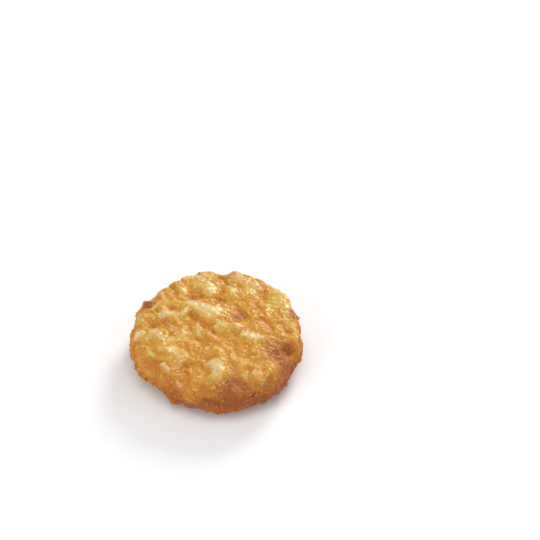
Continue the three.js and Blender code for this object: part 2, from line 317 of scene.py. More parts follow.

# %% [markdown]
# ## Plump shreds and hollows
# Thick shreds swell in the fryer and stay gold, and the mash between them sinks; its brown is partly
# browning and partly painted shade. Each shred in the list below is a long dome that swells the body's skin
# once more. Two golden lumps bulge from the side. Hollows sink the skin of the top. All of it is a list of
# places, since a learner can read and change a list more easily than brush strokes.

# %% Places on the top and side
# each shred's middle and heading on the top, length, width and height, in mm and degrees; then how golden
# it is, and how strong the pale painted highlight on its crest and far side is
PLUMP_SHREDS = [
    (-4.7, 21.5, -50, 17, 6.8, 1.1, 1.1, 0.7),
    (10.0, 21.5, -48, 18, 7.5, 0.9, 0.6, 0.8),
    (5.6, 18.2, -55, 7, 3.0, 0.7, 0.7, 1.0),
    (16.6, 15.0, -66, 7, 3.0, 0.5, 0.8, 0.7),
    (23.3, 11.5, -55, 14, 7.0, 1.1, 1.1, 0.45),
    (18.0, 8.5, -60, 11, 4.5, 0.4, 0.5, 0.5),
    (-2.0, 25.0, -60, 8, 4.5, 0.6, 0.3, 0.3),
    (-4.2, 8.2, -33, 16, 6.6, 1.0, 1.0, 1.0),
    (-15.4, 5.8, -8, 10, 4.4, 0.8, 0.9, 1.0),
    (-15.6, 8.8, 0, 9, 4.0, 0.5, 0.3, 0.2),
    (-17.8, 11.4, 8, 8, 4.6, 0.7, 1.0, 0.5),
    (-18.8, 16.8, -75, 6, 3.0, 0.6, 0.7, 0.8),
    (-11.5, 19.5, -62, 8, 3.4, 0.5, 0.3, 0.6),
    (-25.5, 5.5, 60, 8, 4.4, 0.5, 0.5, 0.3),
    (-16.2, 1.6, -60, 5, 2.2, 0.5, 0.5, 0.8),
    (-13.6, -3.2, -50, 9, 5.4, 0.8, 0.6, 0.7),
    (-26.6, -2.8, 0, 6, 4.2, 0.7, 0.9, 1.0),
    (-19.4, -5.2, -48, 11, 4.6, 0.8, 0.7, 0.9),
    (-25.4, -8.2, -25, 6, 2.6, 0.5, 0.4, 0.7),
    (-21.2, -11.8, -35, 9, 5.2, 0.6, 0.9, 0.2),
    (-14.4, -13.2, -56, 11, 5.4, 0.9, 0.6, 0.8),
    (-17.6, -18.8, -62, 6, 3.0, 0.6, 0.4, 1.0),
    (-13.0, -24.6, -50, 4, 2.0, 0.5, 0.3, 0.8),
    (-3.0, -12.8, 0, 11, 4.2, 0.5, 0.8, 0.1),
    (-0.6, -20.4, -75, 10, 8.0, 1.0, 0.9, 1.0),
    (4.6, -1.4, -5, 11, 4.4, 0.9, 1.0, 0.6),
    (12.2, -6.2, -25, 10, 5.4, 0.9, 0.6, 1.0),
    (13.0, -1.6, -20, 8, 3.4, 0.5, 0.6, 0.3),
    (2.4, 6.8, -55, 7, 3.0, 0.4, 0.3, 0.6),
    (-6.0, -2.8, -55, 7, 3.6, 0.4, 0.3, 0.6),
    (14.0, -24.6, -48, 8, 4.4, 0.8, 0.5, 0.6),
    (8.6, -22.0, -70, 7, 3.6, 0.5, 0.6, 0.6),
    (19.5, -22.0, -45, 7, 3.8, 0.5, 0.3, 0.3),
    (27.0, -3.6, -75, 7, 3.0, 0.5, 0.3, 0.7),
]
# each golden lump's direction from the middle and height, in degrees and mm; how wide it is and how far it
# bulges, in mm
SIDE_LUMPS = [
    (251, 9.0, 3.4, 0.7),
    (216, 9.5, 3.6, 0.3),
]
# each hollow's middle on the top, reach and depth, in mm
HOLLOWS = [
    (25.2, -11.2, 3.2, 1.4),
    (20.0, -13.5, 5.5, 0.5),
    (8.0, 4.6, 3.4, 0.6),
    (-7.5, 14.2, 4.2, 0.6),
    (1.5, 12.6, 3.2, 0.5),
    (-3.0, -9.6, 3.0, 0.5),
    (-22.0, 1.2, 2.8, 0.5),
    (-10.5, 1.5, 3.6, 0.5),
    (-11.5, -20.0, 4.0, 0.5),
    (22.5, -20.0, 4.0, 0.8),
]
print("plump shreds:", len(PLUMP_SHREDS), "hollows:", len(HOLLOWS))

# %% [markdown]
# ## Nubs and a notch
# A pressed cake's rim is ragged. A few nubs of stray potato stick out of it, with dents between those at
# the near left, and at the back a notch parts two shreds. The notch is pressed in and sunk a little, and
# it runs out towards the base.

# %% Places on the rim
# each nub's direction from the middle and height, in degrees and mm; how wide it is and how far it sticks
# out, in mm, where less than nothing is a dent
NUBS = [
    (150, 13.8, 2.4, 2.2),
    (10, 13.0, 1.8, 0.9),
    (199, 9.0, 1.5, 1.1),
    (208, 6.0, 1.7, 1.2),
    (239, 3.4, 1.7, 2.4),
    (244, 2.6, 1.7, -1.4),
    (249, 1.6, 1.8, 1.2),
    (255, 0.6, 1.6, -1.0),
    (262, 2.0, 1.6, 0.8),
    (291, 2.0, 1.4, 0.8),
    (322, 5.0, 1.5, 0.8),
]
# the notch's direction in degrees; its width, how far it is pressed in and sunk, and the heights from
# where it starts to where it is whole, in mm
NOTCH_AT = 83
NOTCH_WIDTH = 6.0
NOTCH_DEPTH = 3.2
NOTCH_SINKS = 0.8
NOTCH_STARTS = (3.0, 12.0)
print("nubs and dents:", len(NUBS))

# %% [markdown]
# ## Where a point lies
# To move the skin, the script has to know for each point how far it is from each shred, nub or hollow. The
# helpers below work that out for all points at once, as arrays in millimetres, which takes a fraction of
# a second. Every border fades, because a hard one would show as a crease.

# %% Distances and borders
TOP_BEGINS = (9.0, 12.0)  # mm: the shreds and hollows of the lists lie above this
RIM_BEGINS = (17.0, 26.0)  # mm from the middle
OTHER_HALF = 99.0  # mm: stands for the distance to whatever lies on the other half of the cake


def positions(mesh):
    flat = np.empty(len(mesh.vertices) * 3, np.float32)
    mesh.vertices.foreach_get("co", flat)
    return flat.reshape(-1, 3)


def smooth_step(value, low, high):
    """0 below the low end, 1 above the high end and a smooth rise between them."""
    share = np.clip((value - low) / (high - low), 0, 1)
    return share * share * (3 - 2 * share)


def on_top(where):
    return smooth_step(where[:, 2], *TOP_BEGINS)


def near_rim(where):
    return smooth_step(np.hypot(where[:, 0], where[:, 1]), *RIM_BEGINS)


def on_shred(where, x, y, heading, length, width):
    """Where points lie on a shred: aside from its middle line, and away from it, in half widths."""
    turn = math.radians(heading)
    along = (where[:, 0] - x) * math.cos(turn) + (where[:, 1] - y) * math.sin(turn)
    aside = (where[:, 1] - y) * math.cos(turn) - (where[:, 0] - x) * math.sin(turn)
    past_end = np.maximum(np.abs(along) - (length - width) / 2, 0)
    return aside / (width / 2), np.hypot(past_end, aside) / (width / 2)


def sideways_from(where, angle):
    """How far points lie to the side of a direction, in mm."""
    turn = math.radians(angle)
    ahead = where[:, 0] * math.cos(turn) + where[:, 1] * math.sin(turn)
    sideways = where[:, 1] * math.cos(turn) - where[:, 0] * math.sin(turn)
    return np.where(ahead > 0, sideways, OTHER_HALF)


def lump_shape(where, angle, height, width):
    """1 in the middle of a lump or nub on the side, 0 past its width."""
    away = np.hypot(sideways_from(where, angle), where[:, 2] - height) / width
    return (1 - smooth_step(away, 0.0, 1.0)) * near_rim(where)


def notch_shape(where):
    sideways = np.abs(sideways_from(where, NOTCH_AT)) / (NOTCH_WIDTH / 2)
    started = smooth_step(where[:, 2], *NOTCH_STARTS)
    return (1 - smooth_step(sideways, 0.0, 1.0)) * near_rim(where) * started


# %% [markdown]
# ## Moving the skin
# The top goes up for the shreds and down for the hollows, and the rim goes out for the nubs and in for the
# notch. A sculptor would do this by brush. Here each vertex moves by a rule, so the same list always gives
# the same cake, and a shred can be moved by changing one number.

# %% Moving the skin
SWELL = 0.85  # how much of the listed heights the crust on top leaves to be seen
HOLLOW_ENDS = 1.2  # a hollow runs out this many times its reach from its middle


def lifting(where):
    """How far each point of the top goes up for the shreds and down for the hollows and notch, in mm."""
    rise = np.zeros(len(where))
    for *place, height, _, _ in PLUMP_SHREDS:
        _, away = on_shred(where, *place)
        dome = np.sqrt(np.clip(1 - away**2, 0, 1))
        rise = np.maximum(rise, SWELL * height * dome)
    for x, y, reach, depth in HOLLOWS:
        away = np.hypot(where[:, 0] - x, where[:, 1] - y) / reach
        rise -= depth * (1 - smooth_step(away, 0.0, HOLLOW_ENDS))
    rise -= NOTCH_SINKS * notch_shape(where)
    return rise * on_top(where)


def pushing(where):
    """How far each point goes outwards for the nubs and lumps and inwards for the notch, in mm."""
    push = -NOTCH_DEPTH * notch_shape(where)
    for *place, sticks_out in NUBS + SIDE_LUMPS:
        push += sticks_out * lump_shape(where, *place)
    return push


skin = positions(cake.data) / MM
outwards = skin[:, :2] / np.maximum(np.hypot(skin[:, 0], skin[:, 1]), 1)[:, None]
skin[:, :2] += outwards * pushing(skin)[:, None]
skin[:, 2] += lifting(skin)
cake.data.vertices.foreach_set("co", (skin * MM).astype(np.float32).ravel())
cake.data.update()
print("highest point, mm:", round(float(skin[:, 2].max()), 1))

# %% [markdown]
# ## Marks for the crumbs and the colours
# Four numbers per vertex say what kind of place it is: `plump` along a thick shred or on a golden lump,
# a highlight mark on a shred's crest and far side, which face the low lamp behind and get a pale painted
# highlight, `wall` on the side of the cake, and `notch` in the notch. Painting them by hand would be lost at
# the next remesh, which forgets them. These are worked out from the place alone, so they can be stored
# again each time.

# %% Marks
GOLD_FADES = (0.45, 1.15)  # in half widths away from the shred's middle line
HIGHLIGHT_FADES = (0.5, 1.15)
HIGHLIGHT_BEGINS = (-1.0, -0.1)  # in half widths aside, from the near edge to the crest
LUMP_GOLD = 1.4  # how golden a lump is for each mm that it bulges
WALL_ENDS = (0.62, 0.92)  # shares of the cake's height


def marks(mesh):
    """The four marks of every vertex."""
    where = positions(mesh) / MM
    plump = np.zeros(len(where))
    painted_highlight = np.zeros(len(where))
    for *place, _, gold, highlight_share in PLUMP_SHREDS:
        aside, away = on_shred(where, *place)
        plump = np.maximum(plump, gold * (1 - smooth_step(away, *GOLD_FADES)))
        # the crest and far side face the low lamp behind, so the pale painted highlight lies there
        far_side = smooth_step(aside, *HIGHLIGHT_BEGINS) * (1 - smooth_step(away, *HIGHLIGHT_FADES))
        painted_highlight = np.maximum(painted_highlight, highlight_share * far_side)
    lumps = sum(min(1, LUMP_GOLD * bulge) * lump_shape(where, *place) for *place, bulge in SIDE_LUMPS)
    height = where[:, 2] / (cad_high.z / MM)
    return {
        "plump": plump * on_top(where) + lumps,
        "painted_highlight": painted_highlight * on_top(where),
        "wall": 1 - smooth_step(height, *WALL_ENDS),
        "notch": notch_shape(where) * on_top(where),
    }


def store(mesh, name, values):
    layer = mesh.attributes.get(name) or mesh.attributes.new(name, "FLOAT", "POINT")
    layer.data.foreach_set("value", np.asarray(values, np.float32))


def store_marks(mesh):
    for name, values in marks(mesh).items():
        store(mesh, name, values)


store_marks(cake.data)
print("marked vertices:", len(cake.data.vertices))

# %% [markdown]
# ## Shreds, strands, crags and crumbs
# Between the plump shreds lie hundreds of thinner ones, then fine strands, then crags, which are lumps of
# crust, and crumbs. They differ in size, number and place, but one way of laying them does for all four,
# so each is only a set of sizes. Placing them by hand would take days, and a texture alone would leave the
# outline smooth.

# %% Sizes of what lies on the cake
LAY = math.radians(-48)  # the grater and the press leave most shreds lying one way
SHREDS = {
    "Spacing": 2.8 * MM,
    "Shortest": 5.0 * MM,
    "Longest": 11.0 * MM,
    "Narrowest": 1.7 * MM,
    "Widest": 3.4 * MM,
    "Flatness": 0.75,
    "Sunk": 0.12,
    "Turned Aside": math.radians(28),
    "Share On Plump": 0.15,
    "Share On Top": 1.0,
    "Share On Wall": 0.3,
    "Patch Size": 6.0 * MM,
    "Share In Gaps": 0.6,
    "Seed": 41,
}
STRANDS = {
    "Spacing": 2.3 * MM,
    "Shortest": 2.5 * MM,
    "Longest": 6.0 * MM,
    "Narrowest": 0.8 * MM,
    "Widest": 1.4 * MM,
    "Flatness": 0.8,
    "Sunk": 0.25,
    "Turned Aside": math.radians(60),
    "Share On Plump": 0.1,
    "Share On Top": 1.0,
    "Share On Wall": 0.4,
    "Patch Size": 6.0 * MM,
    "Share In Gaps": 0.4,
    "Seed": 42,
}
CRAGS = {
    "Spacing": 2.4 * MM,
    "Shortest": 1.2 * MM,
    "Longest": 3.0 * MM,
    "Narrowest": 1.0 * MM,
    "Widest": 2.0 * MM,
    "Flatness": 0.9,
    "Sunk": 0.05,
    "Turned Aside": math.radians(180),
    "Share On Plump": 0.05,
    "Share On Top": 0.15,
    "Share On Wall": 0.8,
    "Patch Size": 8.0 * MM,
    "Share In Gaps": 0.3,
    "Seed": 43,
}
CRUMBS = {
    "Spacing": 0.75 * MM,
    "Shortest": 0.6 * MM,
    "Longest": 1.4 * MM,
    "Narrowest": 0.6 * MM,
    "Widest": 1.3 * MM,
    "Flatness": 0.9,
    "Sunk": 0.05,
    "Turned Aside": math.radians(180),
    "Share On Plump": 0.25,
    "Share On Top": 1.0,
    "Share On Wall": 1.0,
    "Patch Size": 6.0 * MM,
    "Share In Gaps": 0.15,
    "Seed": 8,
}

# %% [markdown]
# ## Small forms
# A grated shred is a bent strip with thin ends, and a crumb or crag is an uneven ball. Each has three
# variants and only a few dozen faces, because it is repeated hundreds of times. The strip is a round
# profile swept along a curve, which bends and tapers without any modelling.

# %% Small forms
STRIP_BENDS = (-0.35, 0.1, 0.5)
STRIP_STEPS = 8
TIP_BEGINS = (0.25, 0.54)  # in lengths from the strip's middle
TIP_GIRTH = 0.3
FORM_CHOICES = len(STRIP_BENDS)
CRUMB_SUBDIVISIONS = 2
CRUMB_LUMPS = 2.2
CRUMB_GIRTH = (0.6, 1.3)
NOISE_SPAN = (0.3, 0.7)  # most of a noise lies between these
APART = 5.0  # how far one variant's noise lies from the next one's


def position(tree):
    return out(add(tree, "GeometryNodeInputPosition"))


def strip_form(tree, choice):
    """A strip of unit length and width along X, bent aside and thin at its ends."""
    bend = (0, STRIP_BENDS[choice], 0)
    arc = {"Resolution": STRIP_STEPS, "Start": (-0.5, 0, 0), "Middle": bend, "End": (0.5, 0, 0)}
    line = out(add(tree, "GeometryNodeCurveQuadraticBezier", arc))
    along = out(add(tree, "GeometryNodeSplineParameter"), "Factor")
    from_middle = math_node(tree, "ABSOLUTE", math_node(tree, "SUBTRACT", along, 0.5))
    girth = ramp(tree, from_middle, *TIP_BEGINS, 1.0, TIP_GIRTH)
    line = out(add(tree, "GeometryNodeSetCurveRadius", {"Curve": line, "Radius": girth}))
    ring = out(add(tree, "GeometryNodeCurvePrimitiveCircle", {"Resolution": STRIP_STEPS, "Radius": 0.5}))
    swept = {"Curve": line, "Profile Curve": ring, "Fill Caps": True}
    return out(add(tree, "GeometryNodeCurveToMesh", swept))


def crumb_form(tree, choice):
    """An uneven ball of unit width."""
    ball = {"Radius": 0.5, "Subdivisions": CRUMB_SUBDIVISIONS}
    ball = out(add(tree, "GeometryNodeMeshIcoSphere", ball), "Mesh")
    where = position(tree)
    apart = vector_node(tree, "ADD", where, (APART * choice, 0, 0))
    swell = out(add(tree, "ShaderNodeTexNoise", {"Vector": apart, "Scale": CRUMB_LUMPS, "Detail": 1.0}))
    girth = ramp(tree, swell, *NOISE_SPAN, *CRUMB_GIRTH)
    uneven = {"Geometry": ball, "Position": scaled(tree, where, girth)}
    return out(add(tree, "GeometryNodeSetPosition", uneven))


# %% [markdown]
# ## Noise, blisters and attributes
# Nothing on a fried crust is even. Noise varies where things lie and what colour they have, and round
# domes from a cell texture stand for blisters. Both take the size of their lumps in metres, so the same
# two helpers serve the shapes here and the colours later. The others read and write attributes, which
# carry a number from one tree to the next.

# %% Noise, blisters and attributes
NOISE_DETAIL = 2.0
NOISE_MIDDLE = 0.5
DOME_ENDS = (0.1, 0.65)  # from the dome's flat middle to its foot, in cells
LOWEST_DOME = 0.25


def noise(tree, where, size):
    """Noise from about -0.5 to 0.5 with lumps of the given size."""
    scale = math_node(tree, "DIVIDE", 1.0, size)
    texture = add(tree, "ShaderNodeTexNoise", {"Vector": where, "Scale": scale, "Detail": NOISE_DETAIL})
    return math_node(tree, "SUBTRACT", out(texture), NOISE_MIDDLE)


def blisters(tree, where, size):
    """Round domes side by side, each of its own height from 0 to 1, like a crust full of small blisters."""
    scale = math_node(tree, "DIVIDE", 1.0, size)
    cells = add(tree, "ShaderNodeTexVoronoi", {"Vector": where, "Scale": scale, "Randomness": 1.0})
    dome = ramp(tree, out(cells, "Distance"), *DOME_ENDS, 1.0, 0.0)
    splitter = "ShaderNodeSeparateColor" if tree.type == "SHADER" else "FunctionNodeSeparateColor"
    own = out(add(tree, splitter, {"Color": out(cells, "Color")}), "Red")
    return math_node(tree, "MULTIPLY", dome, ramp(tree, own, 0.0, 1.0, LOWEST_DOME, 1.0))


def random_between(tree, low, high, seed, kind="FLOAT"):
    return out(add(tree, "FunctionNodeRandomValue", {"Min": low, "Max": high, "Seed": seed}, data_type=kind))


def named(tree, name):
    """Reads an attribute."""
    return out(add(tree, "GeometryNodeInputNamedAttribute", {"Name": name}, data_type="FLOAT"), "Attribute")


def keep(tree, geometry, name, value):
    """Stores an attribute on the points of a geometry."""
    kept = {"Geometry": geometry, "Name": name, "Value": value}
    return out(add(tree, "GeometryNodeStoreNamedAttribute", kept, data_type="FLOAT", domain="POINT"))


# %% [markdown]
# ## How thickly and which way they lie
# Stray shreds are few on the plump ones and on the wall, crags keep to the wall, and all of them lie in
# patches with gaps between. Nothing is laid in the notch, or it would close again. Each form lies flat on
# its face and along the lay of the cake, turned aside by a random angle, since grated potato is pressed
# but never combed. Painted density would do too, but a rule holds when the cake's list of places changes.

# %% How thickly and which way
PLUMP_BEGINS = (0.1, 0.8)
GAPS_END = (-0.12, 0.1)
NOTCH_CLEARED = (0.05, 0.3)


def share_kept(tree, enter):
    """How many of the places are used, from 0 to 1."""
    share = ramp(tree, named(tree, "plump"), *PLUMP_BEGINS, 1.0, out(enter, "Share On Plump"))
    patches = noise(tree, position(tree), out(enter, "Patch Size"))
    for factor in (
        ramp(tree, patches, *GAPS_END, out(enter, "Share In Gaps"), 1.0),
        ramp(tree, named(tree, "wall"), 0.0, 1.0, out(enter, "Share On Top"), out(enter, "Share On Wall")),
        ramp(tree, named(tree, "notch"), *NOTCH_CLEARED, 1.0, 0.0),
    ):
        share = math_node(tree, "MULTIPLY", share, factor)
    return share


def laid_flat(tree, enter, points, seed):
    """The turn of each form: flat on its face, along the lay and a little aside."""
    lay = {"Rotation": out(points, "Rotation"), "Vector": (math.cos(LAY), math.sin(LAY), 0)}
    laid = out(add(tree, "FunctionNodeAlignRotationToVector", lay, axis="X", pivot_axis="Z"))
    aside = out(enter, "Turned Aside")
    spin = random_between(tree, math_node(tree, "MULTIPLY", aside, -1.0), aside, seed)
    turned = {"Rotation": laid, "Rotate By": out(add(tree, "ShaderNodeCombineXYZ", {"Z": spin}))}
    return out(add(tree, "FunctionNodeRotateRotation", turned, rotation_space="LOCAL"))


# %% [markdown]
# ## Bending them onto the cake
# A limp shred follows what it lies on, also over the rim. So every vertex of a form keeps its own height
# in the form as an attribute, and is then moved to that height above the surface right below it. A
# simulation could drape them too, but takes far longer for thousands of pieces.

# %% Bending


def on_surface(tree, surface, value, sample_at):
    """A value of the surface, read at its point nearest to a place."""
    inputs = {"Mesh": surface, "Value": value, "Sample Position": sample_at}
    return out(add(tree, "GeometryNodeSampleNearestSurface", inputs, data_type="FLOAT_VECTOR"), "Value")


def all_choices(tree, form):
    """The variants of a form, each vertex marked with its height in the form."""
    choices = add(tree, "GeometryNodeJoinGeometry")
    height = out(add(tree, "ShaderNodeSeparateXYZ", {0: position(tree)}), "Z")
    for choice in range(FORM_CHOICES):
        one = keep(tree, form(tree, choice), "height", height)
        tree.links.new(out(add(tree, "GeometryNodeGeometryToInstance", {"Geometry": one})), choices.inputs[0])
    return out(choices)


def bent_onto(tree, surface, strewn, sunk):
    """Moves every vertex to its own height above the surface below it, less what the form is sunk."""
    here = position(tree)
    foot = on_surface(tree, surface, here, here)
    upright = on_surface(tree, surface, out(add(tree, "GeometryNodeInputNormal"), "Normal"), here)
    proud = math_node(tree, "SUBTRACT", named(tree, "height"), sunk)
    rise = math_node(tree, "MULTIPLY", proud, named(tree, "thickness"))
    lifted = vector_node(tree, "ADD", foot, scaled(tree, upright, rise))
    return out(add(tree, "GeometryNodeSetPosition", {"Geometry": strewn, "Position": lifted}))


# %% [markdown]
# ## The tree that lays them
# The whole tree strews points over the faces, gives each its own size and turn, puts a form on it, bends
# the form onto the surface and joins all to the cake. Each piece also gets a random `tone`, since no two
# shreds brown alike. Every random draw has a seed of its own, so the same cake comes out each time.

# %% The laying tree
MOST_POINTS = 1.5e6  # for each square metre, before the spacing thins them out
LENGTH_DRAW, WIDTH_DRAW, TONE_DRAW, TURN_DRAW, FORM_DRAW = range(1, 6)

crust = bpy.data.materials.new("fried_crust")


def laying_tree(name, sizes, form):
    """A tree that lays forms on a surface and joins them to it."""
    tree, enter, leave = geometry_tree(name, sizes)
    surface = out(enter, "Geometry")
    first_seed = out(enter, "Seed")

    def seed(draw):
        return math_node(tree, "ADD", first_seed, draw)

    spread = {
        "Mesh": surface,
        "Distance Min": out(enter, "Spacing"),
        "Density Max": MOST_POINTS,
        "Density Factor": share_kept(tree, enter),
        "Seed": first_seed,
    }
    points = add(tree, "GeometryNodeDistributePointsOnFaces", spread, distribute_method="POISSON")

    length = random_between(tree, out(enter, "Shortest"), out(enter, "Longest"), seed(LENGTH_DRAW))
    width = random_between(tree, out(enter, "Narrowest"), out(enter, "Widest"), seed(WIDTH_DRAW))
    thickness = math_node(tree, "MULTIPLY", width, out(enter, "Flatness"))
    sites = keep(tree, out(points, "Points"), "thickness", thickness)
    sites = keep(tree, sites, "tone", random_between(tree, -1.0, 1.0, seed(TONE_DRAW)))

    inputs = {
        "Points": sites,
        "Instance": all_choices(tree, form),
        "Pick Instance": True,
        "Instance Index": random_between(tree, 0, FORM_CHOICES - 1, seed(FORM_DRAW), "INT"),
        "Rotation": laid_flat(tree, enter, points, seed(TURN_DRAW)),
        "Scale": out(add(tree, "ShaderNodeCombineXYZ", {"X": length, "Y": width, "Z": thickness})),
    }
    strewn = out(add(tree, "GeometryNodeInstanceOnPoints", inputs))
    strewn = out(add(tree, "GeometryNodeRealizeInstances", {"Geometry": strewn}))
    strewn = bent_onto(tree, surface, strewn, out(enter, "Sunk"))

    both = add(tree, "GeometryNodeJoinGeometry")
    tree.links.new(strewn, both.inputs[0])
    tree.links.new(surface, both.inputs[0])
    return finish_tree(tree, out(both), crust, leave)


# %% [markdown]
# ## One crust
# In the fryer everything bakes together. A remesh after each layer does the same: body and shreds become
# one skin, and the next layer lies on that. The last voxel is a little smaller than one pixel of the
# picture, which is as fine as relief has to be. A remesh forgets attributes, so each vertex of the new skin
# takes the tone of the vertex of the old one that is nearest to it.

# %% Laying and fusing
SHRED_VOXEL = 0.4 * MM
CRUST_VOXEL = 0.27 * MM
# in the order of laying: sizes, form, the voxel that fuses them, and the rounds of smoothing after it
LAYERS = {
    "shreds": (SHREDS, strip_form, SHRED_VOXEL, 2),
    "strands": (STRANDS, strip_form, SHRED_VOXEL, 2),
    "crags": (CRAGS, crumb_form, SHRED_VOXEL, 1),
    "crumbs": (CRUMBS, crumb_form, CRUST_VOXEL, 1),
}


def carry_tone(old, new):
    """Gives each new point the tone of the nearest old one."""
    nearest = KDTree(len(old.vertices))
    for index, point in enumerate(positions(old)):
        nearest.insert(point, index)
    nearest.balance()
    tones = np.empty(len(old.vertices), np.float32)
    old.attributes["tone"].data.foreach_get("value", tones)
    store(new, "tone", tones[[nearest.find(point)[1] for point in positions(new)]])


for name, (laid_sizes, form, voxel, smoothing) in LAYERS.items():
    run_tree(cake, laying_tree("lay_" + name, laid_sizes, form), laid_sizes)
    settle(cake, name)
    strewn_mesh = cake.data
    fuse(cake, voxel, smoothing)
    settle(cake, name + "_fused")
    carry_tone(strewn_mesh, cake.data)
    store_marks(cake.data)

# %% [markdown]
# ## Blisters
# Boiling water leaves the crust blistered and pitted. A last tree moves each vertex along its normal by
# wide lumps and small domes, less on the plump shreds and more on the wall. A bump in the material would
# be cheaper, but would leave the outline smooth. The tree also stores what the colours need, which is how
# far a vertex stands above its near surroundings, in millimetres. Last, it keeps the crust above the floor
# and hardly higher than the frame.

# %% Blisters
BLISTERS = {
    "Lump Size": 2.6 * MM,
    "Lump Height": 0.18 * MM,
    "Grain Size": 1.0 * MM,
    "Grain Height": 0.22 * MM,
    "Lowest": 0.0,
    "Highest": float(cad_high.z) + 0.3 * MM,
}
PLUMP_IS_WHOLE = 0.8
OFF_PLUMP_ROUGHER = 1.3
WALL_ROUGHER = 1.5
NEAR_ROUNDS = 6  # of blurring, for the near surroundings
KEPT_FACES = 0.54


def height_above(tree, where, normal, rounds):
    """How far a point stands above the surface around it, in mm."""
    blur = {"Value": where, "Iterations": rounds}
    around = out(add(tree, "GeometryNodeBlurAttribute", blur, data_type="FLOAT_VECTOR"))
    rise = vector_node(tree, "DOT_PRODUCT", vector_node(tree, "SUBTRACT", where, around), normal)
    return math_node(tree, "DIVIDE", rise, MM)


def blister_tree():
    tree, enter, leave = geometry_tree("blisters", BLISTERS)
    where = position(tree)
    normal = out(add(tree, "GeometryNodeInputNormal"), "Normal")
    lumps = noise(tree, where, out(enter, "Lump Size"))
    grains = blisters(tree, where, out(enter, "Grain Size"))
    lumps = math_node(tree, "MULTIPLY", lumps, out(enter, "Lump Height"))
    grains = math_node(tree, "MULTIPLY", grains, out(enter, "Grain Height"))
    off_plump = ramp(tree, named(tree, "plump"), 0.0, PLUMP_IS_WHOLE, OFF_PLUMP_ROUGHER, 1.0)
    on_wall = ramp(tree, named(tree, "wall"), 0.0, 1.0, 1.0, WALL_ROUGHER)
    rougher = math_node(tree, "MULTIPLY", off_plump, on_wall)
    height = math_node(tree, "MULTIPLY", math_node(tree, "ADD", lumps, grains), rougher)
    moved = {"Geometry": out(enter, "Geometry"), "Offset": scaled(tree, normal, height)}
    blistered = out(add(tree, "GeometryNodeSetPosition", moved))
    blistered = keep(tree, blistered, "near_relief", height_above(tree, where, normal, NEAR_ROUNDS))

    place = add(tree, "ShaderNodeSeparateXYZ", {0: where})
    level = math_node(tree, "MAXIMUM", out(place, "Z"), out(enter, "Lowest"))
    level = math_node(tree, "MINIMUM", level, out(enter, "Highest"))
    level_place = {"X": out(place, "X"), "Y": out(place, "Y"), "Z": level}
    bounded = {"Geometry": blistered, "Position": out(add(tree, "ShaderNodeCombineXYZ", level_place))}
    return finish_tree(tree, out(add(tree, "GeometryNodeSetPosition", bounded)), crust, leave)


run_tree(cake, blister_tree(), BLISTERS)
thin_out = cake.modifiers.new("thin_out", "DECIMATE")
thin_out.ratio = KEPT_FACES
settle(cake, "rosti_crust")
cake.data.shade_smooth()

# %% [markdown]
# ## What stands out
# Whatever stands out of this crust is golden, and the mash deep between the shreds is brown, which is partly
# browning and partly painted shade. The colours need that height for every vertex, so it is measured to the
# plain body, as it was before anything was moved or laid on it, and stored like the marks. A shader could
# guess it from how the surface curves, but not for a whole shred.

# %% Height above the plain body


def raised(points):
    """How far each point stands above the plain body, in mm."""
    heights = np.empty(len(points))
    for index, point in enumerate(points):
        foot, normal, _, _ = plain_body.find_nearest(Vector(point))
        heights[index] = (Vector(point) - foot).dot(normal)
    return heights / MM


raised_by = raised(positions(cake.data))
store(cake.data, "raised", raised_by)
print("raised, mm, 5 to 95 percent:", np.percentile(raised_by, (5, 25, 50, 75, 95)).round(2))

# %% [markdown]
# ## Toasted places
# Edges and thin crags brown first, and so does the side, which meets the hot fat all round. The toast mark
# is 1 where the crust is reddish brown: on the spots below, and over the wall, where it grows towards the
# bottom and the near right, which is partly browning and partly painted shade. The middle of the underside
# and the golden lumps stay lighter. A list of spots puts the brown where it is wanted, which noise alone
# would not.

# %% Toasted places
# each spot's middle and reach, in mm, and its strength
TOAST_SPOTS = [
    (-23.8, 13.0, 14.0, 3.0, 1.0),
    (27.3, 5.5, 14.0, 2.6, 0.9),
    (-22.0, 1.0, 16.0, 3.0, 0.8),
    (25.2, -11.5, 14.0, 3.5, 1.0),
    (21.0, -12.5, 16.0, 8.0, 0.62),
    (24.5, -19.0, 11.0, 6.0, 0.6),
    (8.5, 4.5, 16.0, 3.5, 0.7),
    (5.0, -28.5, 12.0, 7.5, 0.75),
    (14.0, -27.0, 5.0, 9.0, 0.6),
    (-29.5, -10.0, 8.0, 2.4, 0.8),
    (-29.0, -15.5, 6.0, 2.4, 0.8),
    (5.5, 26.5, 15.0, 4.5, 0.5),
    (-7.5, 13.5, 15.0, 3.5, 0.4),
    (2.0, 30.0, 4.0, 9.0, 0.5),
    (-21.0, 22.0, 3.0, 9.0, 0.6),
    (22.0, 22.0, 5.0, 8.0, 0.5),
    (-30.0, 3.0, 3.0, 7.0, 0.4),
]
SPOT_FADES = (0.2, 1.3)  # in reaches from the spot's middle
# the wall darkens towards the bottom and most at the near right, partly browning and partly painted shade
WALL_TOAST_AND_SHADE_FADES = (4.0, 16.0)  # mm up
WALL_TOAST_AND_SHADE = (0.3, 0.88)  # where the wall is lightest, and where it is brownest
WALL_DARKEST = math.radians(-55)
UNDERSIDE_ENDS = (0.5, 2.5)  # mm up
UNDERSIDE_SPARED = 0.6
LUMPS_SPARED = 0.9


